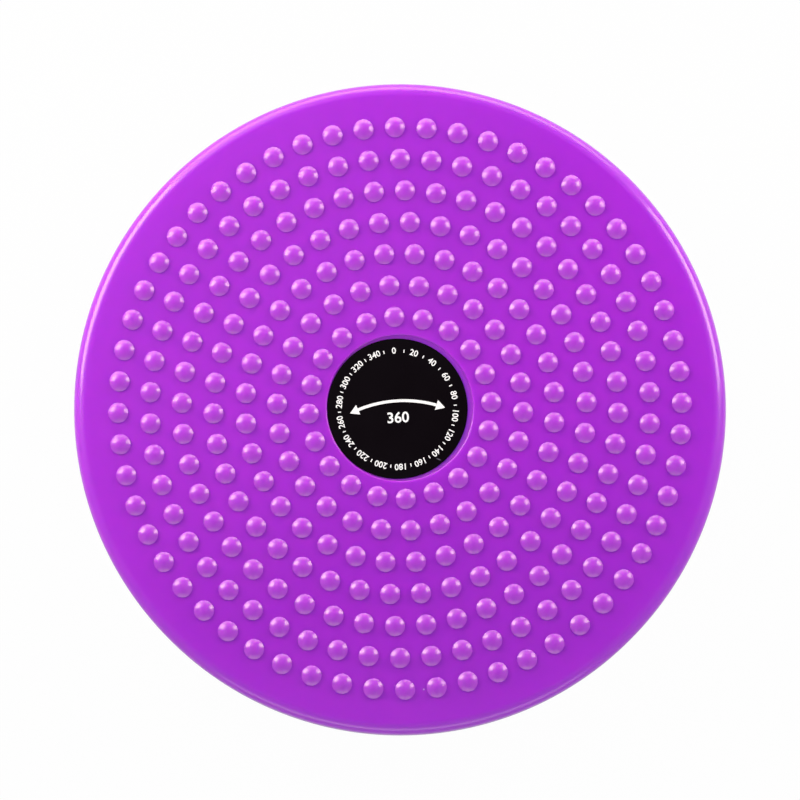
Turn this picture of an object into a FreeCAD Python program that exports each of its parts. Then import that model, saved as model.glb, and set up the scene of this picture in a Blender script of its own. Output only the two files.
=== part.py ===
import FreeCAD, Part
import math
import os

# A waist twisting disc, 250 mm across. You stand on a round moulded platform covered in massage nubs,
# and it turns freely on a base that stays still on its rubber pads. Between the two plates a ring of
# steel balls in a moulded cage rolls in a shallow track, and one bolt through the hubs holds them together.
# The frame is the disc's own: +Z up, the floor at z = 0, and the pivot on the Z axis.

# Platform
disc_radius = 125.0
deck_thickness = 3.0
skirt_wall = 2.5
skirt_overlap = 1.0
rim_round = 4.8
rim_bands = 2
platform_ribs = 8
platform_rib_wall = 1.8
platform_rib_gap = 2.2

# Nubs, in rings that each have a nub on one common line across the disc
first_ring_gap = 7.0
nub_ring_pitch = 12.15
nub_edge_gap = 6.0
first_ring_nubs = 20
nubs_added_per_ring = 6
nub_line_deg = 39.6
nub_radius = 4.05
nub_height = 2.2
nub_root = 0.6
nub_sides = 6
nub_top_share = 0.56

# Centre recess and its label, which was stuck on a little to one side
recess_radius = 28.0
recess_depth = 0.9
label_play = 1.1
label_thickness = 0.4
label_sides = 48
label_shift = 1.04
label_shift_deg = 197.0

# Pivot bolt, lock nut and steel washers, size M6
bolt_radius = 3.0
bolt_head_flats = 10.0
bolt_head_height = 4.0
bolt_end = 1.0
nut_flats = 10.0
nut_height = 6.0
washer_radius = 9.0
washer_thickness = 1.6
washer_play = 0.2
washer_sides = 18
bore_play = 0.3
head_room = 0.5

# Hubs of the two plates, and the nylon washer that keeps them apart
pocket_play = 1.0
hub_floor = 3.0
hub_wall = 2.5
hub_gap = 1.5
glide_washer_radius = 9.5
glide_washer_thickness = 1.0
running_gap = 0.2

# Ball ring
ball_radius = 4.0
ball_count = 20
ball_play = 0.2
ball_sides = 6
ball_bands = 4
track_radius = 80.0
track_depth = 1.3
track_slope_deg = 20.0
cage_width = 14.0
cage_thickness = 2.4
window_play = 0.4

# Base
base_height = 15.0
base_skin = 2.5
base_wall = 2.5
side_gap = 3.0
nut_recess_play = 0.6
under_rib_height = 3.0
under_rib_setback = 0.5
base_ribs = 8
base_rib_wall = 2.0

# Rubber pads under the base
pad_count = 6
pad_radius = 9.0
pad_sides = 12
pad_thickness = 3.5
pad_edge_gap = 5.9
pad_socket_depth = 1.0
pad_play = 0.3
pad_boss_wall = 1.8

# How far a cut runs past the solid that it cuts
overrun = 1.0

# Heights, worked out upwards from the floor
base_bottom = pad_thickness - pad_socket_depth
base_top = base_bottom + base_height
skin_bottom = base_bottom + under_rib_height
skin_top = skin_bottom + base_skin
track_apex_drop = (ball_radius + ball_play) / math.cos(math.radians(track_slope_deg))
ball_centre = base_top - track_depth + track_apex_drop
deck_under = ball_centre + track_apex_drop - track_depth
deck_top = deck_under + deck_thickness
skirt_bottom = skin_top - skirt_overlap
recess_floor = deck_top - recess_depth
head_top = recess_floor - head_room
head_seat = head_top - bolt_head_height
head_washer_bottom = head_seat - washer_thickness
pocket_floor = head_washer_bottom - running_gap
hub_bottom = pocket_floor - hub_floor
web_top = hub_bottom - running_gap - glide_washer_thickness
web_bottom = web_top - hub_floor
nut_top = web_bottom - washer_thickness
nut_bottom = nut_top - nut_height
bolt_tip = nut_bottom - bolt_end

# Radii that follow from the sizes above
first_ring_radius = recess_radius + first_ring_gap
last_ring_limit = disc_radius - rim_round - nub_edge_gap - nub_radius
nub_ring_count = int((last_ring_limit - first_ring_radius) / nub_ring_pitch) + 1
label_radius = recess_radius - label_play
track_half_width = track_depth / math.tan(math.radians(track_slope_deg))
bore_radius = bolt_radius + bore_play
pocket_radius = washer_radius + pocket_play
hub_radius = pocket_radius + hub_wall
well_radius = hub_radius + hub_gap
base_hub_radius = well_radius + hub_wall
nut_recess_radius = washer_radius + nut_recess_play
skirt_inner_radius = disc_radius - skirt_wall
base_radius = skirt_inner_radius - side_gap
base_inner_radius = base_radius - base_wall
cage_inner_radius = track_radius - cage_width / 2
cage_outer_radius = track_radius + cage_width / 2
pad_boss_radius = pad_radius + pad_play + pad_boss_wall
pad_circle_radius = base_inner_radius - pad_edge_gap - pad_boss_radius

up = FreeCAD.Vector(0, 0, 1)
pivot = FreeCAD.Vector(0, 0, 0)


def around(radius, angle_deg, z=0):
    # The point at this radius and angle round the pivot.
    angle = math.radians(angle_deg)
    return FreeCAD.Vector(radius * math.cos(angle), radius * math.sin(angle), z)


def turned(shape, angle_deg):
    copy = shape.copy()
    copy.rotate(pivot, up, angle_deg)
    return copy


def revolved(outline):
    # Turns a closed outline of points (radius, z) about the pivot.
    points = [FreeCAD.Vector(radius, 0, z) for radius, z in outline]
    return Part.Face(Part.makePolygon(points + points[:1])).revolve(pivot, up, 360)


def many_sided(radius, sides, bottom, height):
    # A prism whose edges stand on a circle of this radius.
    points = [around(radius, 360 * i / sides, bottom) for i in range(sides)]
    return Part.Face(Part.makePolygon(points + points[:1])).extrude(up * height)


def corner_radius(radius, sides):
    # How far the corners lie from the middle, when the flats touch a circle of this radius.
    return radius / math.cos(math.pi / sides)


def many_sided_ring(inner_radius, outer_radius, sides, bottom, height):
    # A ring with flats, whose hole clears a circle of the inner radius.
    hole = many_sided(corner_radius(inner_radius, sides), sides, bottom - overrun, height + 2 * overrun)
    return many_sided(outer_radius, sides, bottom, height).cut(hole)


def radial_rib(start, end, wall, bottom, top, angle_deg):
    box = Part.makeBox(end - start, wall, top - bottom, FreeCAD.Vector(start, -wall / 2, bottom))
    return turned(box, angle_deg)


def faceted(levels, sides, low_tip, high_tip):
    # A round form of flat faces about the pivot. Its levels are (radius, z), from the lowest to the highest.
    # A tip is the height of the point that closes that end, or None where a flat face closes it.
    rings = [[around(radius, 360 * i / sides, z) for i in range(sides)] for radius, z in levels]
    faces = []
    for low, high in zip(rings, rings[1:]):
        for i in range(sides):
            j = (i + 1) % sides
            faces.append([low[i], low[j], high[j], high[i]])
    for end, tip in ((rings[0], low_tip), (rings[-1], high_tip)):
        if tip is None:
            faces.append(end)
        else:
            faces += [[end[i], end[(i + 1) % sides], FreeCAD.Vector(0, 0, tip)] for i in range(sides)]
    return Part.Solid(Part.Shell([Part.Face(Part.makePolygon(face + face[:1])) for face in faces]))


def nub():
    # One nub at the pivot: a low dome cut to flat faces, on a root that sinks into the deck.
    top_radius = nub_radius * nub_top_share
    levels = [(nub_radius, deck_top - nub_root), (nub_radius, deck_top), (top_radius, deck_top + nub_height)]
    return faceted(levels, nub_sides, None, None)


def nub_field():
    # Each ring has six more nubs than the one inside it, and starts on the common line.
    pattern = nub()
    nubs = []
    for ring_index in range(nub_ring_count):
        radius = first_ring_radius + nub_ring_pitch * ring_index
        count = first_ring_nubs + nubs_added_per_ring * ring_index
        for i in range(count):
            one = pattern.copy()
            one.translate(around(radius, 0))
            nubs.append(turned(one, nub_line_deg + 360 * i / count))
    return nubs


def rim_outline():
    # The rounded rim, from the side wall over to the deck, in bands whose edges lie on the round.
    points = []
    for band in range(rim_bands + 1):
        tilt = math.radians(90 * band / rim_bands)
        radius = disc_radius - rim_round + rim_round * math.cos(tilt)
        points.append((radius, deck_top - rim_round + rim_round * math.sin(tilt)))
    return points


def track_outline(face, apex):
    # The shallow V that the balls roll in, from its inner edge to its outer edge.
    inner, outer = track_radius - track_half_width, track_radius + track_half_width
    return [(inner, face), (track_radius, apex), (outer, face)]


def top_plate():
    shell = revolved(
        [
            (bore_radius, hub_bottom),
            (hub_radius, hub_bottom),
            (hub_radius, deck_under),
            *track_outline(deck_under, deck_under + track_depth),
            (skirt_inner_radius, deck_under),
            (skirt_inner_radius, skirt_bottom),
            (disc_radius, skirt_bottom),
            *rim_outline(),
            (recess_radius, deck_top),
            (recess_radius, recess_floor),
            (pocket_radius, recess_floor),
            (pocket_radius, pocket_floor),
            (bore_radius, pocket_floor),
        ]
    )
    rib_bottom = base_top + platform_rib_gap
    rib_top = deck_under + deck_thickness / 2
    spans = [
        (pocket_radius + hub_wall / 2, cage_inner_radius - side_gap),
        (cage_outer_radius + side_gap, skirt_inner_radius + skirt_wall / 2),
    ]
    ribs = []
    for i in range(platform_ribs):
        angle = 360 * i / platform_ribs
        for start, end in spans:
            ribs.append(radial_rib(start, end, platform_rib_wall, rib_bottom, rib_top, angle))
    return shell.fuse(ribs + nub_field()).removeSplitter()


def pad_place(index):
    return around(pad_circle_radius, 360 * index / pad_count)


def base_plate():
    # A skin with low ribs and a rim below it, and the track ring and hub standing on it.
    shell = revolved(
        [
            (bore_radius, web_top),
            (well_radius, web_top),
            (well_radius, base_top),
            (base_hub_radius, base_top),
            (base_hub_radius, skin_top),
            (track_radius - track_half_width, skin_top),
            *track_outline(base_top, base_top - track_depth),
            (track_radius + track_half_width, skin_top),
            (base_radius, skin_top),
            (base_radius, base_bottom),
            (base_inner_radius, base_bottom),
            (base_inner_radius, skin_bottom),
            (base_hub_radius, skin_bottom),
            (base_hub_radius, base_bottom),
            (nut_recess_radius, base_bottom),
            (nut_recess_radius, web_bottom),
            (bore_radius, web_bottom),
        ]
    )
    middle_of_skin = skin_bottom + base_skin / 2
    rib_start = base_hub_radius - hub_wall / 2
    rib_bottom = base_bottom + under_rib_setback
    rib_end = base_inner_radius + base_wall / 2
    extras = []
    for i in range(base_ribs):
        angle = 360 * i / base_ribs
        extras.append(radial_rib(rib_start, rib_end, base_rib_wall, rib_bottom, middle_of_skin, angle))
        extras.append(radial_rib(rib_start, track_radius, base_rib_wall, middle_of_skin, web_bottom, angle))
    socket_radius = pad_radius + pad_play
    sockets = []
    for i in range(pad_count):
        boss = many_sided(pad_boss_radius, pad_sides, base_bottom, middle_of_skin - base_bottom)
        boss.translate(pad_place(i))
        extras.append(boss)
        socket = many_sided(socket_radius, pad_sides, base_bottom - overrun, pad_socket_depth + overrun)
        socket.translate(pad_place(i))
        sockets.append(socket)
    return shell.fuse(extras).cut(sockets).removeSplitter()


def centre_label():
    label = many_sided(label_radius, label_sides, recess_floor, label_thickness)
    label.translate(around(label_shift, label_shift_deg))
    return label


def hexagon(flats, bottom, height):
    return many_sided(corner_radius(flats / 2, 6), 6, bottom, height)


def pivot_bolt():
    shank = Part.makeCylinder(bolt_radius, head_seat - bolt_tip, FreeCAD.Vector(0, 0, bolt_tip))
    return hexagon(bolt_head_flats, head_seat, bolt_head_height).fuse(shank).removeSplitter()


def lock_nut():
    return hexagon(nut_flats, nut_bottom, nut_height).cut(Part.makeCylinder(bolt_radius, nut_top))


def washer(outer_radius, bottom, thickness):
    return many_sided_ring(bolt_radius + washer_play, outer_radius, washer_sides, bottom, thickness)


def steel_ball(index):
    # A ball of flat faces, whose corners lie on the true sphere, in its window of the cage.
    levels = []
    for band in range(1, ball_bands):
        tilt = math.radians(180 * band / ball_bands - 90)
        levels.append((ball_radius * math.cos(tilt), ball_radius * math.sin(tilt)))
    ball = faceted(levels, ball_sides, -ball_radius, ball_radius)
    ball.translate(around(track_radius, 0, ball_centre))
    return turned(ball, 360 * index / ball_count)


def ball_cage():
    # The cage has a flat side and a window for each ball.
    bottom = ball_centre - cage_thickness / 2
    window = 2 * (ball_radius + window_play)
    corner = FreeCAD.Vector(track_radius - window / 2, -window / 2, bottom - overrun)
    opening = Part.makeBox(window, window, cage_thickness + 2 * overrun, corner)
    cage = many_sided_ring(cage_inner_radius, cage_outer_radius, ball_count, bottom, cage_thickness)
    half_side = 180 / ball_count
    return turned(cage, half_side).cut([turned(opening, 360 * i / ball_count) for i in range(ball_count)])


def rubber_pad(index):
    pad = many_sided(pad_radius, pad_sides, 0, pad_thickness)
    pad.translate(pad_place(index))
    return pad


def build():
    parts = {
        "top_plate": top_plate(),
        "centre_label": centre_label(),
        "pivot_bolt": pivot_bolt(),
        "head_washer": washer(washer_radius, head_washer_bottom, washer_thickness),
        "glide_washer": washer(glide_washer_radius, web_top, glide_washer_thickness),
        "nut_washer": washer(washer_radius, nut_top, washer_thickness),
        "lock_nut": lock_nut(),
        "ball_cage": ball_cage(),
        "base_plate": base_plate(),
    }
    for i in range(ball_count):
        parts[f"steel_ball_{i + 1:02d}"] = steel_ball(i)
    for i in range(pad_count):
        parts[f"rubber_pad_{i + 1}"] = rubber_pad(i)
    return parts


os.makedirs("parts", exist_ok=True)
for name, shape in build().items():
    if not shape.isValid() or shape.Volume <= 0:
        raise ValueError(f"{name} is not a sound solid")
    shape.exportStep(f"parts/{name}.step")
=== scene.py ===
import math
import bmesh
import bpy
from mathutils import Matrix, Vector


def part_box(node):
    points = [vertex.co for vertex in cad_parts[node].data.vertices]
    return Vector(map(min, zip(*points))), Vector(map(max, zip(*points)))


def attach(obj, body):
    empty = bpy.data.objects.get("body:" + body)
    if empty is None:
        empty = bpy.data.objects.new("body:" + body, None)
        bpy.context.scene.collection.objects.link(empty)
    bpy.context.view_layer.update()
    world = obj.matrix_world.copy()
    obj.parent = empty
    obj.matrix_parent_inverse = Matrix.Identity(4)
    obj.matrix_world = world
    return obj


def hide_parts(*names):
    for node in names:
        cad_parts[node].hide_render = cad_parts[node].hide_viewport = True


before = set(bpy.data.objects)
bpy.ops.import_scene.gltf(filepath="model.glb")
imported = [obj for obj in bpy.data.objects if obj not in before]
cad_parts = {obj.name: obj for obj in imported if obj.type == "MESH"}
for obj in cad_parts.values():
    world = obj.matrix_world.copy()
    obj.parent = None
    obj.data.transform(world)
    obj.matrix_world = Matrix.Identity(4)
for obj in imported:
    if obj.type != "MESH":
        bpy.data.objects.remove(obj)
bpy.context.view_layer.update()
mm = 0.001
pivot = (0, 0, 0)
near = 0.02 * mm  # how far a corner may lie from the place it is picked by
overrun = 1 * mm  # how far a cut, or an end that is fused, runs past its face

# heights and radii read from the frame
plateLow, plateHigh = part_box("top_plate")
labelLow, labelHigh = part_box("centre_label")
boltLow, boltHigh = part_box("pivot_bolt")
glideLow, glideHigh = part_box("glide_washer")
headLow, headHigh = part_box("head_washer")
nutWasherLow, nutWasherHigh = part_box("nut_washer")
nutLow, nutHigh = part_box("lock_nut")
cageLow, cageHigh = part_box("ball_cage")
baseLow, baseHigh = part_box("base_plate")
discRadius = plateHigh.x
labelMiddle = (labelLow + labelHigh) / 2
recessFloor = labelLow.z
recessDepth = 0.9 * mm
deckTop = recessFloor + recessDepth


def deselectAll():
    if bpy.context.object and bpy.context.object.mode != "OBJECT":
        bpy.ops.object.mode_set(mode="OBJECT")
    bpy.ops.object.select_all(action="DESELECT")


def useOnly(piece):
    deselectAll()
    piece.select_set(True)
    bpy.context.view_layer.objects.active = piece


def newPiece(name):
    # the primitive that was just added
    piece = bpy.context.object
    piece.name = name
    piece.data.name = name
    return piece


def pick(piece, test, kind="EDGE"):
    # selects the edges or faces whose corners all pass the test
    bpy.ops.mesh.select_mode(type=kind)
    bpy.ops.mesh.select_all(action="DESELECT")
    mesh = bmesh.from_edit_mesh(piece.data)
    for part in mesh.edges if kind == "EDGE" else mesh.faces:
        if all(test(corner.co) for corner in part.verts):
            part.select_set(True)
    mesh.select_flush_mode()
    bmesh.update_edit_mesh(piece.data)


def onRing(radius, z):
    # true for a corner on this circle about the pivot
    return lambda co: abs(math.hypot(co.x, co.y) - radius) < near and abs(co.z - z) < near


def polar(radius, angle, z=0.0):
    return Vector((radius * math.cos(angle), radius * math.sin(angle), z))


def turnRing(name, sides, outline, rounds=()):
    # turns a closed outline of (radius, z) into a ring
    # one loop is extruded and scaled from point to point
    deselectAll()
    radius, z = outline[0]
    bpy.ops.mesh.primitive_circle_add(vertices=sides, radius=radius, fill_type="NOTHING", location=(0, 0, z))
    piece = newPiece(name)
    bpy.ops.object.transform_apply(location=True)
    bpy.ops.object.mode_set(mode="EDIT")
    bpy.ops.mesh.select_all(action="SELECT")
    for nextRadius, nextZ in outline[1:] + outline[:1]:
        bpy.ops.mesh.extrude_edges_move(TRANSFORM_OT_translate={"value": (0, 0, nextZ - z)})
        ratio = nextRadius / radius
        bpy.ops.transform.resize(value=(ratio, ratio, 1), center_override=pivot)
        radius, z = nextRadius, nextZ
    bpy.ops.mesh.select_all(action="SELECT")
    bpy.ops.mesh.remove_doubles(threshold=near / 4)
    bpy.ops.mesh.normals_make_consistent(inside=False)
    roundRings(piece, rounds)
    bpy.ops.object.mode_set(mode="OBJECT")
    return piece


def roundPicked(width, segments):
    bpy.ops.mesh.bevel(offset=width, segments=segments, profile=0.5, affect="EDGES")


def roundRings(piece, rounds):
    # bevels edge loops, each given as (radius, z, width, segments)
    for radius, z, width, segments in rounds:
        pick(piece, onRing(radius, z))
        roundPicked(width, segments)


def addBlock(name, low, high, soften=0.0):
    # a block between two corners, with its edges softened
    deselectAll()
    middle = [(a + b) / 2 for a, b in zip(low, high)]
    bpy.ops.mesh.primitive_cube_add(size=1, location=middle)
    piece = newPiece(name)
    piece.scale = [b - a for a, b in zip(low, high)]
    bpy.ops.object.transform_apply(location=True, scale=True)
    if soften:
        bpy.ops.object.mode_set(mode="EDIT")
        bpy.ops.mesh.select_all(action="SELECT")
        roundPicked(soften, segments=2)
        bpy.ops.object.mode_set(mode="OBJECT")
    return piece


def addDisc(name, sides, radius, low, high, place, rounding=0.0):
    # a short round bar at a place on the plan, with its lower edge rounded
    deselectAll()
    bpy.ops.mesh.primitive_cylinder_add(
        vertices=sides, radius=radius, depth=high - low, location=(place.x, place.y, (low + high) / 2)
    )
    piece = newPiece(name)
    bpy.ops.object.transform_apply(location=True)
    if rounding:
        bpy.ops.object.mode_set(mode="EDIT")
        pick(piece, lambda co: abs(co.z - low) < near)
        roundPicked(rounding, segments=3)
        bpy.ops.object.mode_set(mode="OBJECT")
    return piece


def copyTurned(piece, angle, name=None):
    # a copy with its own mesh, turned about the pivot
    twin = piece.copy()
    twin.data = piece.data.copy()
    twin.name = name or piece.name
    bpy.context.collection.objects.link(twin)
    useOnly(twin)
    twin.rotation_euler = (0, 0, angle)
    bpy.ops.object.transform_apply(location=True, rotation=True)
    return twin


def repeatTurned(piece, count, turn=0.0):
    # the piece and its copies, evenly round the pivot
    copies = [copyTurned(piece, turn + 2 * math.pi * i / count) for i in range(count)]
    bpy.data.objects.remove(piece)
    return copies


def joinAll(pieces):
    deselectAll()
    for piece in pieces:
        piece.select_set(True)
    bpy.context.view_layer.objects.active = pieces[0]
    if len(pieces) > 1:
        bpy.ops.object.join()
    return pieces[0]


def combine(piece, tool, operation):
    # fuses the tool to the piece, or cuts the piece with it
    change = piece.modifiers.new("combine", "BOOLEAN")
    change.operation = operation
    change.solver = "EXACT"
    change.object = tool
    useOnly(piece)
    bpy.ops.object.modifier_apply(modifier=change.name)
    bpy.data.objects.remove(tool)
    return piece


def smooth(piece, degrees=30):
    useOnly(piece)
    bpy.ops.object.shade_smooth_by_angle(angle=math.radians(degrees))


def keepFlats(piece):
    # wide flat faces shade flat right up to their rounded edges
    change = piece.modifiers.new("keepFlats", "WEIGHTED_NORMAL")
    change.mode = "FACE_AREA"
    change.keep_sharp = True
    useOnly(piece)
    bpy.ops.object.modifier_apply(modifier=change.name)


def finishPiece(piece, body, material, nodes, degrees=30, flats=True):
    # shading, finish, and what the piece rides on and stands for
    smooth(piece, degrees)
    if flats:
        keepFlats(piece)
    piece.data.materials.clear()
    piece.data.materials.append(material)
    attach(piece, body)
    if nodes:
        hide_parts(*nodes)
    return piece


# finishes: a noise is given by its scale and detail, a bump by its strength and depth,
# and scratches by their noise's scale, their turns in degrees, their width and the share that they cover
def newMaterial(name):
    material = bpy.data.materials.new(name)
    material.use_nodes = True
    tree = material.node_tree
    place = tree.nodes.new("ShaderNodeTexCoord").outputs["Object"]
    return material, tree, tree.nodes["Principled BSDF"], place


def setSockets(node, values):
    for socket, value in values.items():
        node.inputs[socket].default_value = value


def addMapping(tree, place, kind, scale, turn=0.0, centre=(0, 0, 0)):
    mapping = tree.nodes.new("ShaderNodeMapping")
    mapping.vector_type = kind
    setSockets(mapping, {"Location": centre, "Rotation": (0, 0, turn), "Scale": scale})
    tree.links.new(place, mapping.inputs["Vector"])
    return mapping.outputs["Vector"]


def addLength(tree, vector):
    length = tree.nodes.new("ShaderNodeVectorMath")
    length.operation = "LENGTH"
    tree.links.new(vector, length.inputs[0])
    return length.outputs["Value"]


def addParts(tree, vector):
    parts = tree.nodes.new("ShaderNodeSeparateXYZ")
    tree.links.new(vector, parts.inputs["Vector"])
    return parts.outputs


def addNoise(tree, place, scale, detail, stretch=(1, 1, 1), turn=0.0):
    noise = tree.nodes.new("ShaderNodeTexNoise")
    setSockets(noise, {"Scale": scale, "Detail": detail})
    vector = addMapping(tree, place, "TEXTURE", stretch, math.radians(turn))  # turned first, stretched after
    tree.links.new(vector, noise.inputs["Vector"])
    return noise.outputs["Fac"]


def addRange(tree, value, fromLow, fromHigh, toLow=0.0, toHigh=1.0):
    spread = tree.nodes.new("ShaderNodeMapRange")
    setSockets(spread, {"From Min": fromLow, "From Max": fromHigh, "To Min": toLow, "To Max": toHigh})
    tree.links.new(value, spread.inputs["Value"])
    return spread.outputs["Result"]


def addMix(tree, factor, first, second):
    # mixes two colours, or a linked colour with a plain one
    mix = tree.nodes.new("ShaderNodeMix")
    mix.data_type = "RGBA"
    tree.links.new(factor, mix.inputs["Factor"])
    for socket, colour in ((mix.inputs["A"], first), (mix.inputs["B"], second)):
        if isinstance(colour, tuple):
            socket.default_value = (*colour, 1)
        else:
            tree.links.new(colour, socket)
    return mix.outputs["Result"]


def addMath(tree, operation, first, second=0.0):
    step = tree.nodes.new("ShaderNodeMath")
    step.operation = operation
    for socket, value in zip(step.inputs, (first, second)):
        if isinstance(value, (int, float)):
            socket.default_value = value
        else:
            tree.links.new(value, socket)
    return step.outputs["Value"]


def mixShaders(tree, factor, first, second):
    mix = tree.nodes.new("ShaderNodeMixShader")
    for socket, value in zip(mix.inputs, (factor, first, second)):
        tree.links.new(value, socket)
    return mix.outputs["Shader"]


def addBumps(tree, shader, heights):
    # chains bumps, each given as (height, strength, distance)
    normal = None
    for height, strength, distance in heights:
        bump = tree.nodes.new("ShaderNodeBump")
        setSockets(bump, {"Strength": strength, "Distance": distance})
        tree.links.new(height, bump.inputs["Height"])
        if normal:
            tree.links.new(normal, bump.inputs["Normal"])
        normal = bump.outputs["Normal"]
    tree.links.new(normal, shader.inputs["Normal"])


hairline = {
    "stretch": (1, 16, 1),
    "detail": 1,
    "level": 0.5,
    "patchSize": 3,
    "patchDetail": 2,
    "patchEdge": 0.1,
}


def addScratches(tree, place, scale, turns, width, share):
    # hairlines in several directions: thin level lines of stretched noise, kept to a few rubbed places
    total = None
    for turn in turns:
        streak = addNoise(tree, place, scale, hairline["detail"], hairline["stretch"], turn)
        distance = addMath(tree, "ABSOLUTE", addMath(tree, "SUBTRACT", streak, hairline["level"]))
        line = addRange(tree, distance, 0, width, 1, 0)
        total = addMath(tree, "MAXIMUM", total, line) if total else line
    patches = addNoise(tree, place, scale / hairline["patchSize"], hairline["patchDetail"])
    rubbed = addRange(tree, patches, 1 - hairline["patchEdge"] - share, 1 - share)
    return addMath(tree, "MULTIPLY", total, rubbed)


purplePlastic = {
    "colour": (0.386, 0.010, 0.630),
    "shade": (0.352, 0.008, 0.605),
    "cloud": (9, 3),
    "cloudBand": (0.3, 0.7),
    "mottle": (120, 3),
    "mottleBand": (0.2, 0.8),
    "mottleShare": 0.12,
    # the nubs' paler tone is painted light
    "nubPaintedLightTone": (0.390, 0.030, 0.575),
    "nubStart": (0.1 * mm, 0.7 * mm),
    # the recess tone is painted shade
    "recessShadeTone": (0.290, 0.005, 0.710),
    "recessShadeFade": (0.2 * mm, 0.5 * mm),
    "recessShadeReach": (26.3 * mm, 27.8 * mm),
    "dust": (0.78, 0.52, 0.85),
    "dustScale": 110,
    "dustSize": 0.045,
    "dustRarity": 0.95,
    "roughness": (0.28, 0.34),
    "haze": (26, 4),
    "hazeBand": (0.25, 0.75),
    "scratches": (180, (12, 74, 131), 0.004, 0.32),
    "scratchHaze": 0.15,
    "dustHaze": 0.4,
    "ripple": (22, 1),
    "rippleBump": (0.35, 0.1 * mm),
    "peel": (420, 2),
    "peelBump": (0.06, 0.05 * mm),
    "scratchBump": (-0.1, 0.02 * mm),
    "sockets": {
        "IOR": 1.5,
        "Specular Tint": (1.0, 0.88, 0.66, 1.0),
        "Specular IOR Level": 0.6,
        "Coat Weight": 0.5,
        "Coat Roughness": 0.05,
        "Subsurface Weight": 0.85,
        "Subsurface Radius": (4.0, 1.0, 5.0),
        "Subsurface Scale": 1 * mm,
    },
}


def addDust(tree, place, scale, size, rarity):
    # small round specks in a few of a pattern's cells
    cells = tree.nodes.new("ShaderNodeTexVoronoi")
    cells.inputs["Scale"].default_value = scale
    tree.links.new(place, cells.inputs["Vector"])
    speck = addRange(tree, cells.outputs["Distance"], 0, size, 1, 0)
    lot = tree.nodes.new("ShaderNodeSeparateColor")
    tree.links.new(cells.outputs["Color"], lot.inputs["Color"])
    return addMath(tree, "MULTIPLY", speck, addMath(tree, "GREATER_THAN", lot.outputs["Red"], rarity))


def makePurplePlastic():
    look = purplePlastic
    material, tree, shader, place = newMaterial("purplePlastic")
    cloud = addRange(tree, addNoise(tree, place, *look["cloud"]), *look["cloudBand"])
    tone = addMix(tree, cloud, look["colour"], look["shade"])
    mottle = addNoise(tree, place, *look["mottle"])
    mottle = addRange(tree, mottle, *look["mottleBand"], 0, look["mottleShare"])
    tone = addMix(tree, mottle, tone, look["shade"])
    height = addParts(tree, place)["Z"]
    # painted light: the nubs are painted a little paler, for the brighter light that the raised nubs catch
    nubPaintedLight = addRange(tree, height, *[deckTop + rise for rise in look["nubStart"]])
    tone = addMix(tree, nubPaintedLight, tone, look["nubPaintedLightTone"])
    # painted shade: the floor of the recess round the label is painted a bluer tone, for the shade that
    # falls in it
    fromPivot = addLength(tree, addMapping(tree, place, "POINT", (1, 1, 0)))
    inside = addRange(tree, fromPivot, *look["recessShadeReach"], 1, 0)
    offFloor = addMath(tree, "ABSOLUTE", addMath(tree, "SUBTRACT", height, recessFloor))
    paintedRecessShade = addMath(tree, "MULTIPLY", inside, addRange(tree, offFloor, *look["recessShadeFade"], 1, 0))
    tone = addMix(tree, paintedRecessShade, tone, look["recessShadeTone"])
    dust = addDust(tree, place, look["dustScale"], look["dustSize"], look["dustRarity"])
    tree.links.new(addMix(tree, dust, tone, look["dust"]), shader.inputs["Base Color"])
    scratches = addScratches(tree, place, *look["scratches"])
    rough = addRange(tree, addNoise(tree, place, *look["haze"]), *look["hazeBand"], *look["roughness"])
    rough = addMath(tree, "ADD", rough, addMath(tree, "MULTIPLY", scratches, look["scratchHaze"]))
    rough = addMath(tree, "ADD", rough, addMath(tree, "MULTIPLY", dust, look["dustHaze"]))
    tree.links.new(rough, shader.inputs["Roughness"])
    addBumps(tree, shader, [
        (addNoise(tree, place, *look["ripple"]), *look["rippleBump"]),
        (addNoise(tree, place, *look["peel"]), *look["peelBump"]),
        (scratches, *look["scratchBump"]),
    ])
    setSockets(shader, look["sockets"])
    return material


blackFilm = {
    "colour": (0.0022, 0.0010, 0.0017),
    "sheen": (0.0032, 0.0017, 0.0029),
    "blotch": (60, 4),
    "blotchBand": (0.3, 0.7),
    "roughness": (0.12, 0.18),
    "scuff": (0.11, 0.10, 0.13),
    "scuffPlace": (15.8 * mm, -19.4 * mm),
    "scuffSize": (1.2 * mm, 0.3 * mm, 1.0),
    "scuffTurn": math.radians(-22),
    "scuffFade": (0.3, 1.0),
    "scratches": (120, (25, 118), 0.004, 0.35),
    "scratchHaze": 0.15,
    "wave": (45, 1),
    "waveBump": (0.25, 0.1 * mm),
    "grain": (900, 2),
    "grainBump": (0.1, 0.02 * mm),
    "sockets": {"Specular IOR Level": 0.1},
}


def makeBlackFilm():
    look = blackFilm
    material, tree, shader, place = newMaterial("blackFilm")
    blotch = addNoise(tree, place, *look["blotch"])
    tone = addMix(tree, blotch, look["colour"], look["sheen"])
    # one small rubbed place near the label's edge
    scuffX, scuffY = look["scuffPlace"]
    centre = (labelMiddle.x + scuffX, labelMiddle.y + scuffY, labelHigh.z)
    around = addMapping(tree, place, "TEXTURE", look["scuffSize"], look["scuffTurn"], centre)
    rubbed = addRange(tree, addLength(tree, around), *look["scuffFade"], 1, 0)
    tree.links.new(addMix(tree, rubbed, tone, look["scuff"]), shader.inputs["Base Color"])
    scratches = addMath(tree, "MULTIPLY", addScratches(tree, place, *look["scratches"]), look["scratchHaze"])
    rough = addRange(tree, blotch, *look["blotchBand"], *look["roughness"])
    tree.links.new(addMath(tree, "ADD", rough, scratches), shader.inputs["Roughness"])
    addBumps(tree, shader, [
        (addNoise(tree, place, *look["wave"]), *look["waveBump"]),
        (addNoise(tree, place, *look["grain"]), *look["grainBump"]),
    ])
    setSockets(shader, look["sockets"])
    return material


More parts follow.
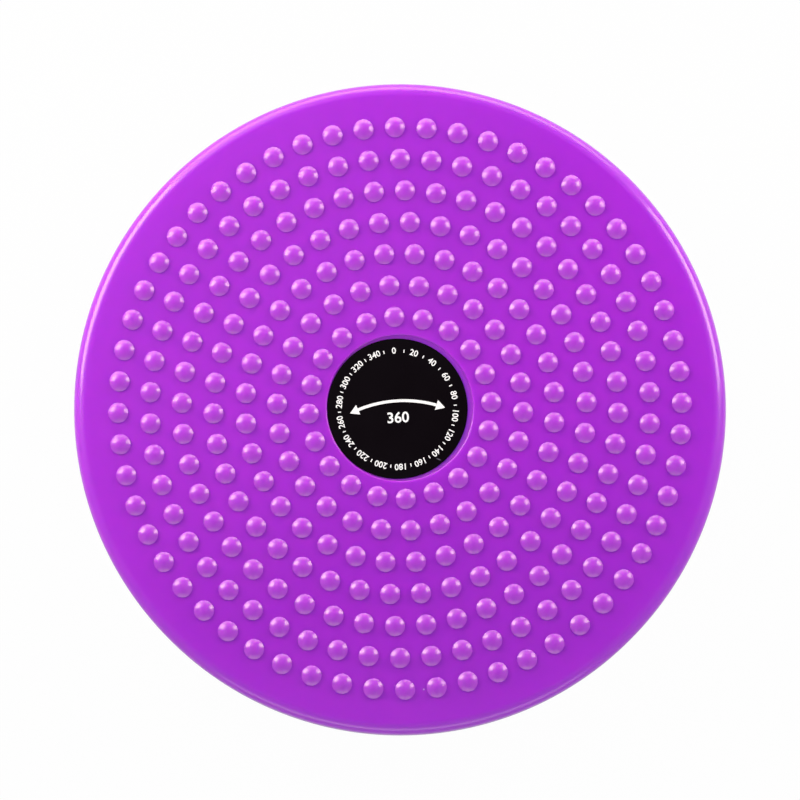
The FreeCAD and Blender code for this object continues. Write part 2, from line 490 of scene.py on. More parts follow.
whiteInk = {
    "colour": (0.86, 0.86, 0.85),
    "worn": (0.62, 0.62, 0.63),
    "wear": (1400, 3),
    "wearBand": (0.55, 0.8),
    "roughness": (0.45, 0.65),
    "grain": (2500, 2),
    "grainBump": (0.1, 0.02 * mm),
}
zincPlate = {
    "colour": (0.60, 0.60, 0.58),
    "worn": (0.42, 0.43, 0.42),
    "wear": (240, 4),
    "roughness": (0.24, 0.42),
    "roughBand": (0.25, 0.75),
    "wearBump": (0.15, 0.05 * mm),
    "scratches": (900, (5, 60, 140), 0.01, 0.5),
    "scratchBump": (-0.1, 0.02 * mm),
    "sockets": {"Metallic": 1.0},
}
ballSteel = {
    "colour": (0.75, 0.75, 0.76),
    "worn": (0.62, 0.62, 0.64),
    "wear": (500, 3),
    "roughness": (0.05, 0.12),
    "roughBand": (0.3, 0.7),
    "wearBump": (0.03, 0.02 * mm),
    "sockets": {"Metallic": 1.0},
}
whiteNylon = {
    "colour": (0.78, 0.77, 0.72),
    "worn": (0.68, 0.66, 0.60),
    "wear": (60, 3),
    "roughness": (0.38, 0.52),
    "roughBand": (0.3, 0.7),
    "grain": (900, 2),
    "grainBump": (0.15, 0.03 * mm),
    "sockets": {"Subsurface Weight": 0.15, "Subsurface Radius": (1.0, 1.0, 0.8), "Subsurface Scale": 1 * mm},
}
blackRubber = {
    "colour": (0.016, 0.016, 0.017),
    "worn": (0.055, 0.052, 0.050),
    "wear": (260, 5),
    "wearBand": (0.45, 0.75),
    "roughness": (0.62, 0.85),
    "grain": (1300, 3),
    "grainBump": (0.35, 0.06 * mm),
    "sockets": {"Specular IOR Level": 0.3},
}


def makeWornFinish(name, look):
    # a colour that wears to another in blotches, with the roughness following the wear
    material, tree, shader, place = newMaterial(name)
    wear = addNoise(tree, place, *look["wear"])
    if "wearBand" in look:
        wear = addRange(tree, wear, *look["wearBand"])
    tree.links.new(addMix(tree, wear, look["colour"], look["worn"]), shader.inputs["Base Color"])
    rough = addRange(tree, wear, *look.get("roughBand", (0, 1)), *look["roughness"])
    tree.links.new(rough, shader.inputs["Roughness"])
    bumps = []
    if "wearBump" in look:
        bumps.append((wear, *look["wearBump"]))
    if "grain" in look:
        bumps.append((addNoise(tree, place, *look["grain"]), *look["grainBump"]))
    if "scratches" in look:
        bumps.append((addScratches(tree, place, *look["scratches"]), *look["scratchBump"]))
    addBumps(tree, shader, bumps)
    setSockets(shader, look.get("sockets", {}))
    return material


plastic = makePurplePlastic()
film = makeBlackFilm()
ink = makeWornFinish("whiteInk", whiteInk)
zinc = makeWornFinish("zincPlate", zincPlate)
steel = makeWornFinish("ballSteel", ballSteel)
nylon = makeWornFinish("whiteNylon", whiteNylon)
rubber = makeWornFinish("blackRubber", blackRubber)
print("materials ready")

# both plates share the track, a shallow V, and the sizes of the hub round the bolt
track = {"radius": 80 * mm, "depth": 1.3 * mm, "slope": math.radians(20)}
track["half"] = track["depth"] / math.tan(track["slope"])
hub = {"bore": 3.3 * mm, "pocket": 10 * mm, "wall": 2.5 * mm, "gap": 1.5 * mm, "play": 0.2 * mm}
ballRing = {
    "count": 20,
    "sides": 240,
    "width": 14 * mm,
    "edgeRound": 0.3 * mm,
    "windowPlay": 0.4 * mm,
    "windowRound": 1.5 * mm,
    "squaresPerSide": 12,
    "smoothTo": 60,
}

platform = {
    "sides": 256,
    "deck": 3.0 * mm,
    "wall": 2.5 * mm,
    "rimRound": 4.8 * mm,
    "lipRound": 0.5 * mm,
    "floorRound": 0.25 * mm,
    "skirtRound": 0.5 * mm,
    "recess": 28.0 * mm,
    "hold": 0.6 * mm,  # how far past a rounding the deck has a loop that keeps it flat
    "ribs": 8,
    "ribWall": 1.8 * mm,
    "ribGap": 2.2 * mm,
    "ribClear": 3.0 * mm,
    "ribRound": 0.2 * mm,
}
nub = {
    "radius": 3.92 * mm,
    "foot": 0.4 * mm,
    "root": 0.6 * mm,
    "sides": 16,
    "bands": 11,
    "firstRing": 35.0 * mm,
    "pitch": 12.15 * mm,
    "rings": 7,
    "firstCount": 20,
    "addedPerRing": 6,
    "commonLine": math.radians(39.6),
}
nub["edgeTilt"] = 2 * math.atan((plateHigh.z - deckTop - nub["foot"]) / nub["radius"])
deckUnder = deckTop - platform["deck"]


def makeNub():
    # the cap of a sphere on a low straight foot, with a short root that the deck swallows
    capRadius = nub["radius"] / math.sin(nub["edgeTilt"])
    deselectAll()
    bpy.ops.mesh.primitive_uv_sphere_add(
        segments=nub["sides"], ring_count=nub["bands"], radius=capRadius,
        location=(nub["firstRing"], 0, plateHigh.z - capRadius),
    )
    piece = newPiece("nub")
    bpy.ops.object.transform_apply(location=True)
    edge = deckTop + nub["foot"]
    bpy.ops.object.mode_set(mode="EDIT")
    bpy.ops.mesh.select_all(action="SELECT")
    bpy.ops.mesh.bisect(plane_co=(0, 0, edge), plane_no=(0, 0, 1), clear_inner=True)
    pick(piece, lambda co: co.z < edge + near)
    bpy.ops.mesh.extrude_edges_move(TRANSFORM_OT_translate={"value": (0, 0, -nub["foot"] - nub["root"])})
    bpy.ops.mesh.edge_face_add()
    bpy.ops.mesh.select_all(action="SELECT")
    bpy.ops.mesh.normals_make_consistent(inside=False)
    bpy.ops.object.mode_set(mode="OBJECT")
    return piece


def makeNubField():
    # seven rings, each with six more nubs than the last, all starting on one line
    pattern = makeNub()
    nubs = []
    for ring in range(nub["rings"]):
        count = nub["firstCount"] + nub["addedPerRing"] * ring
        for i in range(count):
            twin = pattern.copy()
            twin.data = pattern.data.copy()
            bpy.context.collection.objects.link(twin)
            angle = nub["commonLine"] + 2 * math.pi * i / count
            twin.rotation_euler = (0, 0, angle)
            twin.location = polar(nub["pitch"] * ring, angle)
            nubs.append(twin)
    bpy.data.objects.remove(pattern)
    useOnly(nubs[0])
    bpy.ops.object.transform_apply(location=True, rotation=True)
    return joinAll(nubs)


def makeRibs(count, wall, rounding, spans):
    # radial ribs, each span given as (start, end, bottom, top)
    ribs = []
    for start, end, bottom, top in spans:
        rib = addBlock("rib", (start, -wall / 2, bottom), (end, wall / 2, top), rounding)
        ribs.append(rib)
        ribs += [copyTurned(rib, 2 * math.pi * i / count) for i in range(1, count)]
    return ribs


def makeTopPlate():
    look = platform
    skirtInner = discRadius - look["wall"]
    hubBottom = glideHigh.z + hub["play"]
    hubRadius = hub["pocket"] + hub["wall"]
    pocketFloor = headLow.z - hub["play"]
    inner, outer = track["radius"] - track["half"], track["radius"] + track["half"]
    rimStart = discRadius - look["rimRound"]
    outline = [
        (hub["bore"], hubBottom),
        (hubRadius, hubBottom),
        (hubRadius, deckUnder),
        (inner, deckUnder),
        (track["radius"], deckUnder + track["depth"]),
        (outer, deckUnder),
        (skirtInner, deckUnder),
        (skirtInner, plateLow.z),
        (discRadius, plateLow.z),
        (discRadius, deckTop),
        (rimStart - look["hold"], deckTop),
        (look["recess"] + look["hold"] + look["lipRound"], deckTop),
        (look["recess"], deckTop),
        (look["recess"], recessFloor),
        (hub["pocket"], recessFloor),
        (hub["pocket"], pocketFloor),
        (hub["bore"], pocketFloor),
    ]
    rounds = [
        (discRadius, deckTop, look["rimRound"], 12),
        (look["recess"], deckTop, look["lipRound"], 4),
        (look["recess"], recessFloor, look["floorRound"], 2),
        (discRadius, plateLow.z, look["skirtRound"], 3),
        (skirtInner, plateLow.z, look["skirtRound"], 3),
        (skirtInner, deckUnder, look["skirtRound"], 2),
        (hub["pocket"], recessFloor, look["floorRound"], 2),
        (hubRadius, hubBottom, look["floorRound"], 2),
    ]
    piece = turnRing("topPlate", look["sides"], outline, rounds)
    ribBottom = baseHigh.z + look["ribGap"]
    ribTop = deckUnder + look["deck"] / 2
    cageInner = cageHigh.x - ballRing["width"]
    ribs = makeRibs(look["ribs"], look["ribWall"], look["ribRound"], [
        (hub["pocket"] + hub["wall"] / 2, cageInner - look["ribClear"], ribBottom, ribTop),
        (cageHigh.x + look["ribClear"], skirtInner + look["wall"] / 2, ribBottom, ribTop),
    ])
    print("ribs of the platform")
    combine(piece, joinAll([makeNubField()] + ribs), "UNION")
    print("platform with its nubs:", len(piece.data.polygons), "faces")
    return finishPiece(piece, "platform", plastic, ["top_plate"], flats=False)


makeTopPlate()
print("top plate made")

# the label, with a plain dial of numbers and a double arrow in white
label = {
    "sides": 160,
    "edgeRound": 0.12 * mm,
    "ink": 0.02 * mm,
    "ringRadius": 22.2 * mm,
    "ringNumbers": 18,
    "numberHeight": 2.4 * mm,
    "tick": (0.4 * mm, 1.2 * mm),
    "tilt": math.radians(3.5),
    "arcWidth": 30.0 * mm,
    "arcRadius": 46.0 * mm,
    "arcBar": 1.1 * mm,
    "arcRise": 3.0 * mm,
    "head": 2.3 * mm,
    "midNumber": "360",
    "midNumberHeight": 4.2 * mm,
    "midNumberDrop": 3.6 * mm,
    "figureShare": 0.73,  # how much of the type's size its figures fill
    "heavyShare": 0.022,
    "curveSteps": 3,
    "arcStub": 0.05 * mm,
    "arcSteps": 14,
}


def makeLabel():
    radius = (labelHigh.x - labelLow.x) / 2
    piece = addDisc("centreLabel", label["sides"], radius, labelLow.z, labelHigh.z, labelMiddle)
    bpy.ops.object.mode_set(mode="EDIT")
    pick(piece, lambda co: co.z > labelMiddle.z)
    roundPicked(label["edgeRound"], segments=3)
    bpy.ops.object.mode_set(mode="OBJECT")
    return finishPiece(piece, "platform", film, ["centre_label"])


def printNumber(text, height, place, turn):
    # a number in plain heavy figures, as a thin layer of ink
    deselectAll()
    bpy.ops.object.text_add(location=pivot)
    piece = bpy.context.object
    lettering = piece.data
    lettering.body = text
    lettering.size = height / label["figureShare"]
    lettering.align_x, lettering.align_y = "CENTER", "CENTER"
    lettering.resolution_u = label["curveSteps"]
    lettering.offset = height * label["heavyShare"]
    lettering.extrude = label["ink"] / 2
    bpy.ops.object.convert(target="MESH")
    piece = bpy.context.object
    piece.location = place
    piece.rotation_euler = (0, 0, turn)
    bpy.ops.object.transform_apply(location=True, rotation=True)
    return piece


def makeArrowBar(z):
    # a shallow arc: a short block whose end face is spun about the arc's centre
    halfSpan = math.asin(label["arcWidth"] / 2 / label["arcRadius"])
    bar, thin = label["arcBar"], label["ink"]
    centre = Vector((0, label["arcRise"] - label["arcRadius"], z))
    stub = label["arcStub"]
    low = (-stub, label["arcRise"] - bar / 2, z - thin / 2)
    high = (0, label["arcRise"] + bar / 2, z + thin / 2)
    piece = addBlock("arrowBar", low, high)
    halves = []
    for side in (1, -1):
        half = copyTurned(piece, 0)
        bpy.ops.object.mode_set(mode="EDIT")
        pick(half, lambda co: co.x > -stub / 2 if side > 0 else co.x < -stub / 2, "FACE")
        bpy.ops.mesh.spin(steps=label["arcSteps"], angle=side * halfSpan, center=centre, axis=(0, 0, -1))
        bpy.ops.object.mode_set(mode="OBJECT")
        halves.append(half)
        deselectAll()
        bpy.ops.mesh.primitive_cylinder_add(vertices=3, radius=label["head"], depth=thin)
        head = newPiece("arrowHead")
        tip = side * (halfSpan + label["head"] / 2 / label["arcRadius"])
        head.location = centre + Vector((math.sin(tip), math.cos(tip), 0)) * label["arcRadius"]
        head.rotation_euler = (0, 0, -tip - side * math.pi / 2)
        bpy.ops.object.transform_apply(location=True, rotation=True)
        halves.append(head)
    bpy.data.objects.remove(piece)
    return halves


def makePrint():
    z = labelHigh.z + label["ink"] / 2
    marks = []
    for i in range(label["ringNumbers"]):
        share = i / label["ringNumbers"]
        angle = -2 * math.pi * share
        place = Vector((-math.sin(angle), math.cos(angle), 0)) * label["ringRadius"] + Vector((0, 0, z))
        marks.append(printNumber(str(round(360 * share)), label["numberHeight"], place, angle))
    width, height = label["tick"]
    start, end, thin = label["ringRadius"] - height / 2, label["ringRadius"] + height / 2, label["ink"] / 2
    tick = addBlock("tick", (start, -width / 2, z - thin), (end, width / 2, z + thin))
    between = math.pi / 2 + math.pi / label["ringNumbers"]
    marks += repeatTurned(tick, label["ringNumbers"], between)
    marks += makeArrowBar(z)
    middle = Vector((0, -label["midNumberDrop"], z))
    marks.append(printNumber(label["midNumber"], label["midNumberHeight"], middle, 0))
    piece = joinAll(marks)
    piece.name = "labelPrint"
    piece.rotation_euler = (0, 0, label["tilt"])
    piece.location = (labelMiddle.x, labelMiddle.y, 0)
    bpy.ops.object.transform_apply(location=True, rotation=True)
    return finishPiece(piece, "platform", ink, [])


makeLabel()
makePrint()
print("label made")

base = {
    "sides": 256,
    "underRib": 3.0 * mm,
    "skin": 2.5 * mm,
    "wall": 2.5 * mm,
    "skirtGap": 3.0 * mm,
    "setback": 0.5 * mm,
    "ribs": 8,
    "ribWall": 2.0 * mm,
    "edgeRound": 0.5 * mm,
    "smallRound": 0.3 * mm,
    "nutRecess": 9.6 * mm,
    "padPlay": 0.3 * mm,
    "bossWall": 1.8 * mm,
    "bossSides": 64,
    "socket": 1.0 * mm,
    "marks": (40 * mm, 70 * mm, 106 * mm),
    "markRadius": 3.0 * mm,
    "markDepth": 0.15 * mm,
    "markSides": 24,
}
padCount = 6
padLow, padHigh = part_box("rubber_pad_1")
padCircle = (padLow.x + padHigh.x) / 2
padRadius = (padHigh.x - padLow.x) / 2
skinBottom = baseLow.z + base["underRib"]
skinTop = skinBottom + base["skin"]


def makeBase():
    look = base
    webTop, webBottom = glideLow.z, nutWasherHigh.z
    well = hub["pocket"] + hub["wall"] + hub["gap"]
    hubRadius = well + hub["wall"]
    outer = discRadius - platform["wall"] - look["skirtGap"]
    inner = outer - look["wall"]
    trackIn, trackOut = track["radius"] - track["half"], track["radius"] + track["half"]
    outline = [
        (hub["bore"], webTop),
        (well, webTop),
        (well, baseHigh.z),
        (hubRadius, baseHigh.z),
        (hubRadius, skinTop),
        (trackIn, skinTop),
        (trackIn, baseHigh.z),
        (track["radius"], baseHigh.z - track["depth"]),
        (trackOut, baseHigh.z),
        (trackOut, skinTop),
        (outer, skinTop),
        (outer, baseLow.z),
        (inner, baseLow.z),
        (inner, skinBottom),
        (hubRadius, skinBottom),
        (hubRadius, baseLow.z),
        (look["nutRecess"], baseLow.z),
        (look["nutRecess"], webBottom),
        (hub["bore"], webBottom),
    ]
    rounds = [
        (outer, skinTop, look["edgeRound"], 3),
        (outer, baseLow.z, look["edgeRound"], 3),
        (inner, baseLow.z, look["edgeRound"], 3),
        (inner, skinBottom, look["smallRound"], 2),
        (hubRadius, skinBottom, look["smallRound"], 2),
        (hubRadius, baseLow.z, look["edgeRound"], 3),
        (look["nutRecess"], baseLow.z, look["edgeRound"], 3),
        (hubRadius, baseHigh.z, look["smallRound"], 2),
    ]
    piece = turnRing("basePlate", look["sides"], outline, rounds)
    middle = skinBottom + look["skin"] / 2
    ribStart = hubRadius - hub["wall"] / 2
    ribs = makeRibs(look["ribs"], look["ribWall"], look["smallRound"], [
        (ribStart, inner + look["wall"] / 2, baseLow.z + look["setback"], middle),
        (ribStart, track["radius"], middle + 2 * near, webBottom),
    ])
    combine(piece, joinAll(ribs), "UNION")
    onCircle = Vector((padCircle, 0, 0))
    socketRadius = padRadius + look["padPlay"]
    bossRadius = socketRadius + look["bossWall"]
    boss = addDisc("boss", look["bossSides"], bossRadius, baseLow.z, middle, onCircle, look["edgeRound"])
    combine(piece, joinAll(repeatTurned(boss, padCount)), "UNION")
    low, high = baseLow.z - overrun, baseLow.z + look["socket"]
    socket = addDisc("socket", look["bossSides"], socketRadius, low, high, onCircle)
    cuts = repeatTurned(socket, padCount)
    low, high = skinBottom - overrun, skinBottom + look["markDepth"]
    for radius in look["marks"]:
        # the round marks that the mould's pins leave, half way between the ribs
        mark = addDisc("pinMark", look["markSides"], look["markRadius"], low, high, Vector((radius, 0, 0)))
        cuts += repeatTurned(mark, look["ribs"], math.pi / look["ribs"])
    combine(piece, joinAll(cuts), "DIFFERENCE")
    print("base plate:", len(piece.data.polygons), "faces")
    return finishPiece(piece, "base", plastic, ["base_plate"])


pad = {
    "sides": 72,
    "edgeRound": 0.7 * mm,
    "grooves": (7.4 * mm, 5.2 * mm, 3.0 * mm),
    "grooveWidth": 0.7 * mm,
    "grooveSlope": 0.1 * mm,
    "grooveDepth": 0.45 * mm,
}


def makePads():
    # a rubber foot, whose sole has three round grooves
    piece = addDisc("rubberPad", pad["sides"], padRadius, 0, padHigh.z, Vector((padCircle, 0, 0)))
    bpy.ops.object.mode_set(mode="EDIT")
    pick(piece, lambda co: co.z < near)
    roundPicked(pad["edgeRound"], segments=4)
    pick(piece, lambda co: co.z < near, "FACE")
    width, slope = padRadius - pad["edgeRound"], pad["grooveSlope"]
    for outer in pad["grooves"]:
        inner = outer - pad["grooveWidth"]
        for radius, step in ((outer, 0), (outer - slope, 1), (inner + slope, 0), (inner, -1)):
            bpy.ops.mesh.inset(thickness=width - radius, depth=0)
            bpy.ops.transform.translate(value=(0, 0, step * pad["grooveDepth"]))
            width = radius
    bpy.ops.object.mode_set(mode="OBJECT")
    for i in range(padCount):
        twin = copyTurned(piece, 2 * math.pi * i / padCount, f"rubberPad{i + 1}")
        finishPiece(twin, "base", rubber, [f"rubber_pad_{i + 1}"])
    bpy.data.objects.remove(piece)


makeBase()
makePads()
print("base and pads made")

fastener = {
    "sides": 96,
    "bolt": 3.0 * mm,
    "flats": 10 * mm,
    "chamfer": math.radians(30),
    "cornerShare": 1.02,
    "faceShare": 0.96,
    "pitch": 1.0 * mm,
    "threadDepth": 0.35 * mm,
    "crestShares": (0.45, 0.55),
    "tip": (0.3 * mm, 0.25 * mm),
    "washerPlay": 0.2 * mm,
    "washerRound": 0.25 * mm,
}


def turnSolid(name, sides, outline):
    # turns an open outline of (radius, z) into a solid with closed ends, from a filled circle
    deselectAll()
    radius, z = outline[0]
    bpy.ops.mesh.primitive_circle_add(vertices=sides, radius=radius, fill_type="NGON", location=(0, 0, z))
    piece = newPiece(name)
    bpy.ops.object.transform_apply(location=True)
    bpy.ops.object.mode_set(mode="EDIT")
    bpy.ops.mesh.select_all(action="SELECT")
    for nextRadius, nextZ in outline[1:]:
        bpy.ops.mesh.extrude_region_move(TRANSFORM_OT_translate={"value": (0, 0, nextZ - z)})
        ratio = nextRadius / radius
        bpy.ops.transform.resize(value=(ratio, ratio, 1), center_override=pivot)
        radius, z = nextRadius, nextZ
    bpy.ops.mesh.select_all(action="SELECT")
    bpy.ops.mesh.normals_make_consistent(inside=False)
    bpy.ops.object.mode_set(mode="OBJECT")
    return piece


def makeWasher(name, box, material, node):
    # a pressed ring, rounded on its edges
    low, high = box
    outerRadius = high.x
    innerRadius = fastener["bolt"] + fastener["washerPlay"]
    outline = [(innerRadius, low.z), (outerRadius, low.z), (outerRadius, high.z), (innerRadius, high.z)]
    rounds = [(radius, z, fastener["washerRound"], 3) for radius, z in outline]
    piece = turnRing(name, fastener["sides"], outline, rounds)
    return finishPiece(piece, "base", material, [node])


def makeHexagon(name, low, high, chamferLow, chamferHigh):
    # a hexagon bar whose corners are turned off at its ends
    cornerRadius = fastener["flats"] / 2 / math.cos(math.pi / 6)
    deselectAll()
    bpy.ops.mesh.primitive_cylinder_add(
        vertices=6, radius=cornerRadius, depth=high - low, location=(0, 0, (low + high) / 2)
    )
    piece = newPiece(name)
    piece.rotation_euler = (0, 0, math.pi / 6)
    bpy.ops.object.transform_apply(location=True, rotation=True)
    wide = cornerRadius * fastener["cornerShare"]
    narrow = fastener["flats"] / 2 * fastener["faceShare"]
    rise = (wide - narrow) * math.tan(fastener["chamfer"])
    outline = [
        (narrow if chamferLow else wide, low - near),
        (wide, low + rise),
        (wide, high - rise),
        (narrow if chamferHigh else wide, high + near),
    ]
    combine(piece, turnSolid("turning", fastener["sides"], outline), "INTERSECT")
    return piece


def makeBolt():
    # a hexagon head, a plain shank, and a thread down to the chamfered tip
    radius, root, pitch = fastener["bolt"], fastener["bolt"] - fastener["threadDepth"], fastener["pitch"]
    tipWidth, tipHeight = fastener["tip"]
    crestStart, crestEnd = [share * pitch for share in fastener["crestShares"]]
    z = boltLow.z + tipHeight
    outline = [(root - tipWidth, boltLow.z), (root, z)]
    while z + pitch < nutWasherLow.z:
        outline += [(radius, z + crestStart), (radius, z + crestEnd), (root, z + pitch)]
        z += pitch
    outline += [(radius, z + crestStart), (radius, headHigh.z + overrun)]
    head = makeHexagon("pivotBolt", headHigh.z, boltHigh.z, False, True)
    combine(head, turnSolid("shank", fastener["sides"], outline), "UNION")
    return finishPiece(head, "base", zinc, ["pivot_bolt"])


nutLook = {
    "collar": 1.5 * mm,
    "collarRadius": 4.55 * mm,
    "collarChamfer": 0.5 * mm,
    "insertRadius": 3.9 * mm,
    "insertRound": 0.2 * mm,
    "lip": 0.15 * mm,
    "play": 0.03 * mm,
}


def makeNut():
    # a hexagon with a round collar below, which holds a nylon ring
    look = nutLook
    low, high = nutLow.z, nutHigh.z
    shoulder = low + look["collar"]
    nut = makeHexagon("lockNut", shoulder, high, True, True)
    collar = turnSolid("collar", fastener["sides"], [
        (look["collarRadius"] - look["collarChamfer"], low),
        (look["collarRadius"], low + look["collarChamfer"]),
        (look["collarRadius"], shoulder + overrun),
    ])
    combine(nut, collar, "UNION")
    innerRadius = fastener["bolt"] + look["play"]
    bore = turnSolid("bore", fastener["sides"], [
        (look["insertRadius"], low - overrun),
        (look["insertRadius"], shoulder),
        (innerRadius, shoulder + 2 * near),
        (innerRadius, high + overrun),
    ])
    combine(nut, bore, "DIFFERENCE")
    finishPiece(nut, "base", zinc, ["lock_nut"])
    outerRadius = look["insertRadius"] - look["play"]
    bottom, top = low + look["lip"], shoulder - near
    outline = [(innerRadius, bottom), (outerRadius, bottom), (outerRadius, top), (innerRadius, top)]
    rounds = [(radius, bottom, look["insertRound"], 3) for radius in (innerRadius, outerRadius)]
    insert = turnRing("nutInsert", fastener["sides"], outline, rounds)
    finishPiece(insert, "base", nylon, [])


makeWasher("headWasher", (headLow, headHigh), zinc, "head_washer")
makeWasher("nutWasher", (nutWasherLow, nutWasherHigh), zinc, "nut_washer")
makeWasher("glideWasher", (glideLow, glideHigh), nylon, "glide_washer")
makeBolt()
makeNut()
print("bolt, nut and washers made")

ballLow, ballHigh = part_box("steel_ball_01")
ballRadius = (ballHigh.z - ballLow.z) / 2


def makeCage():
    # a flat ring with a rounded window for each ball
    inner, outer = track["radius"] - ballRing["width"] / 2, cageHigh.x
    outline = [(inner, cageLow.z), (outer, cageLow.z), (outer, cageHigh.z), (inner, cageHigh.z)]
    rounds = [(radius, z, ballRing["edgeRound"], 2) for radius, z in outline]
    piece = turnRing("ballCage", ballRing["sides"], outline, rounds)
    half = ballRadius + ballRing["windowPlay"]
    low = (track["radius"] - half, -half, cageLow.z - overrun)
    high = (track["radius"] + half, half, cageHigh.z + overrun)
    window = addBlock("window", low, high)
    # only its upright edges are rounded
    bpy.ops.object.mode_set(mode="EDIT")
    mesh = bmesh.from_edit_mesh(window.data)
    bpy.ops.mesh.select_mode(type="EDGE")
    bpy.ops.mesh.select_all(action="DESELECT")
    for edge in mesh.edges:
        edge.select_set(abs(edge.verts[0].co.z - edge.verts[1].co.z) > near)
    bmesh.update_edit_mesh(window.data)
    roundPicked(ballRing["windowRound"], segments=5)
    bpy.ops.object.mode_set(mode="OBJECT")
    combine(piece, joinAll(repeatTurned(window, ballRing["count"])), "DIFFERENCE")
    return finishPiece(piece, "ball_ring", nylon, ["ball_cage"])


def makeBalls():
    # a cube cut into small squares and swelled to a ball, which has no poles
    deselectAll()
    bpy.ops.mesh.primitive_cube_add(size=ballRadius, location=pivot)
    piece = newPiece("ball")
    bpy.ops.object.mode_set(mode="EDIT")
    bpy.ops.mesh.select_all(action="SELECT")
    bpy.ops.mesh.subdivide(number_cuts=ballRing["squaresPerSide"] - 1)
    bpy.ops.transform.tosphere(value=1, center_override=pivot)
    bpy.ops.object.mode_set(mode="OBJECT")
    size = ballRadius / piece.data.vertices[0].co.length
    piece.scale = (size, size, size)
    piece.location = (ballLow + ballHigh) / 2
    bpy.ops.object.transform_apply(location=True, scale=True)
    for i in range(ballRing["count"]):
        twin = copyTurned(piece, 2 * math.pi * i / ballRing["count"], f"steelBall{i + 1:02d}")
        nodes = [f"steel_ball_{i + 1:02d}"]
        finishPiece(twin, "ball_ring", steel, nodes, ballRing["smoothTo"], flats=False)
    bpy.data.objects.remove(piece)


makeCage()
makeBalls()
print("ball ring made")

# camera, as high above the disc as the photograph's
view = {
    "distance": 2.8,
    "elevation": math.radians(86.3),
    "frameWidth": 306.8 * mm,
    "target": (0, 3.3 * mm, 22 * mm),
    "sensor": 36.0,
    "reach": 20.0,
}


def makeCamera():
    data = bpy.data.cameras.new("camera")
    data.sensor_width = view["sensor"]
    data.lens = view["sensor"] * view["distance"] / view["frameWidth"]
    data.clip_end = view["reach"]
    camera = bpy.data.objects.new("camera", data)
    bpy.context.collection.objects.link(camera)
    lift = Vector((0, -math.cos(view["elevation"]), math.sin(view["elevation"])))
    camera.location = Vector(view["target"]) + lift * view["distance"]
    camera.rotation_euler = lift.to_track_quat("Z", "Y").to_euler()
    bpy.context.scene.camera = camera


makeCamera()

# the lamps stand round the disc: softboxes at both sides, panels behind and in front, none straight above
# a lamp's level is how bright its face is, where 1 is white, and its spread is how wide its beam is
warmWhite = (1.0, 0.92, 0.77)
lamps = {
    "leftBox": {
        "place": (-0.364, 0.185, 0.215),
        "aim": (0, 0, 0.1),
        "size": (0.30, 0.20),
        "level": 3.3,
        "spread": 110,
    },
    "rightBox": {
        "place": (0.375, 0.165, 0.215),
        "aim": (0, 0, 0.1),
        "size": (0.26, 0.20),
        "level": 2.9,
        "spread": 110,
    },
    "backStrip": {
        "place": (-0.03, 0.45, 0.1),
        "aim": (-0.03, 0, 0.1),
        "size": (0.8, 0.19),
        "level": 3.4,
        "spread": 180,
    },
    "skyPanel": {
        "place": (-0.45, 0.5, 0.5),
        "aim": (0, 0, 0.03),
        "size": (0.6, 0.50),
        "level": 1.5,
        "spread": 180,
    },
    "frontPanel": {
        "place": (0, -1.1, 0.3),
        "aim": (0, 0, 0.03),
        "size": (1.6, 0.40),
        "level": 1.6,
        "spread": 180,
    },
}


def makeLamps():
    for name, lamp in lamps.items():
        data = bpy.data.lights.new(name, "AREA")
        data.shape = "RECTANGLE"
        data.size, data.size_y = lamp["size"]
        data.energy = lamp["level"] * math.pi * lamp["size"][0] * lamp["size"][1]
        data.color = warmWhite
        data.spread = math.radians(lamp["spread"])
        lampObject = bpy.data.objects.new(name, data)
        lampObject.location = lamp["place"]
        away = Vector(lamp["place"]) - Vector(lamp["aim"])
        lampObject.rotation_euler = away.to_track_quat("Z", "Y").to_euler()
        bpy.context.collection.objects.link(lampObject)


makeLamps()

# the surround is even, but the deck mirrors what is almost straight above: a dim patch, with a glow in it
# heights on it run from 0 at the horizon to 1 straight above
surround = {
    "horizon": 0.8,
    "above": 0.60,
    "aboveFrom": 0.8,
    "zenith": 0.6,
    "zenithFrom": (0.9, 0.97),
    "colour": (0.97, 0.98, 1.12),
    "patch": {"aim": (0.2, 6.7), "radius": (5.0, 5.5), "share": 0.08},
    "glow": {"aim": (-3.0, 6.5), "radius": (0.5, 4.8), "level": 0.6},
}


def addSpot(tree, direction, spot, within, beyond):
    # one value within a round spot of the sky and one beyond it, its aim in degrees from straight above
    aim = [math.tan(math.radians(angle)) for angle in spot["aim"]]
    toward = tree.nodes.new("ShaderNodeVectorMath")
    toward.operation = "DOT_PRODUCT"
    toward.inputs[1].default_value = Vector((*aim, 1)).normalized()
    tree.links.new(direction, toward.inputs[0])
    inner, outer = [math.cos(math.radians(angle)) for angle in spot["radius"]]
    return addRange(tree, toward.outputs["Value"], outer, inner, beyond, within)


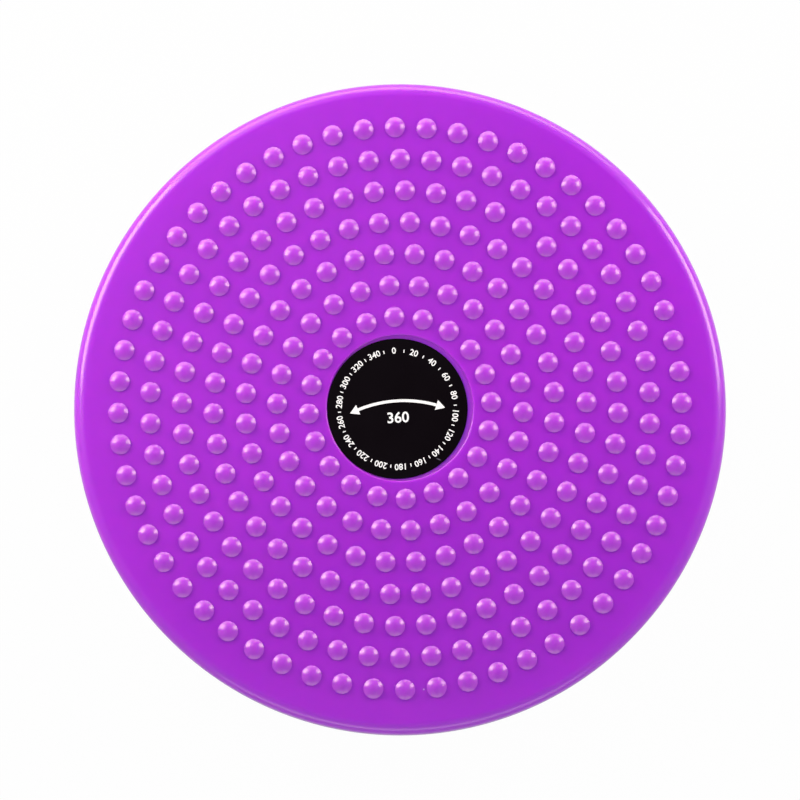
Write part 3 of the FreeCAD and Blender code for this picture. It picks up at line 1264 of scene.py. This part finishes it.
def makeWorld():
    # white behind the object, and an even surround that is dimmer straight above
    world = bpy.data.worlds.new("surround")
    bpy.context.scene.world = world
    world.use_nodes = True
    tree = world.node_tree
    tree.nodes.clear()
    output = tree.nodes.new("ShaderNodeOutputWorld")
    white = tree.nodes.new("ShaderNodeBackground")
    around = tree.nodes.new("ShaderNodeBackground")
    path = tree.nodes.new("ShaderNodeLightPath")
    direction = tree.nodes.new("ShaderNodeTexCoord").outputs["Generated"]
    height = addParts(tree, direction)["Z"]
    level = addRange(tree, height, 0, surround["aboveFrom"], surround["horizon"], surround["above"])
    zenith = addRange(tree, height, *surround["zenithFrom"], 1, surround["zenith"])
    level = addMath(tree, "MULTIPLY", level, zenith)
    patch, glow = surround["patch"], surround["glow"]
    level = addMath(tree, "MULTIPLY", level, addSpot(tree, direction, patch, patch["share"], 1))
    level = addMath(tree, "ADD", level, addSpot(tree, direction, glow, glow["level"], 0))
    tree.links.new(level, around.inputs["Strength"])
    white.inputs["Color"].default_value = (1, 1, 1, 1)
    around.inputs["Color"].default_value = (*surround["colour"], 1)
    inView = path.outputs["Is Camera Ray"]
    seen = mixShaders(tree, inView, around.outputs["Background"], white.outputs["Background"])
    tree.links.new(seen, output.inputs["Surface"])


makeWorld()

floorLook = {
    "sides": 96,
    "radius": 5.0,
    "drop": 0.05 * mm,
    "colour": (0.5, 0.5, 0.5),
    "roughness": 0.9,
    "keptShadow": 0.02,
    "mirrored": (0.25, 1.0),
    "fade": 0.2,
}


def makeFloor():
    # a wide ring of paper, open under the base, so that light from below reaches the underside
    deselectAll()
    middle = (0, 0, -floorLook["drop"])
    bpy.ops.mesh.primitive_circle_add(
        vertices=floorLook["sides"], radius=baseHigh.x, fill_type="NOTHING", location=middle
    )
    floor = newPiece("floor")
    bpy.ops.object.mode_set(mode="EDIT")
    bpy.ops.mesh.select_all(action="SELECT")
    bpy.ops.mesh.extrude_edges_move()
    wider = floorLook["radius"] / baseHigh.x
    bpy.ops.transform.resize(value=(wider, wider, 1), center_override=middle)
    bpy.ops.mesh.select_all(action="SELECT")
    bpy.ops.mesh.normals_make_consistent(inside=False)
    bpy.ops.object.mode_set(mode="OBJECT")
    if floor.data.polygons[0].normal.z < 0:
        floor.data.flip_normals()
    material, tree, shader, place = newMaterial("floorPaper")
    setSockets(shader, {
        "Base Color": (*floorLook["colour"], 1),
        "Roughness": floorLook["roughness"],
        "Specular IOR Level": 0,
    })
    glow = tree.nodes.new("ShaderNodeEmission")
    path = tree.nodes.new("ShaderNodeLightPath")
    # mirrored in the object, the paper is bright behind it and dim before it
    fade = floorLook["fade"]
    mirrored = addRange(tree, addParts(tree, place)["Y"], -fade, fade, *floorLook["mirrored"])
    inMirror = addMath(tree, "MULTIPLY", path.outputs["Is Glossy Ray"], mirrored)
    inView = addMath(tree, "MULTIPLY", path.outputs["Is Camera Ray"], 1 - floorLook["keptShadow"])
    glowing = addMath(tree, "MAXIMUM", inView, inMirror)
    paper = mixShaders(tree, glowing, shader.outputs["BSDF"], glow.outputs["Emission"])
    # from below the floor isn't there, so that the underside can be seen
    below = tree.nodes.new("ShaderNodeNewGeometry").outputs["Backfacing"]
    clear = tree.nodes.new("ShaderNodeBsdfTransparent").outputs["BSDF"]
    paper = mixShaders(tree, below, paper, clear)
    tree.links.new(paper, tree.nodes["Material Output"].inputs["Surface"])
    floor.data.materials.append(material)


makeFloor()
print("camera, lamps and floor ready")

bpy.context.scene.view_settings.view_transform = "Standard"
deselectAll()
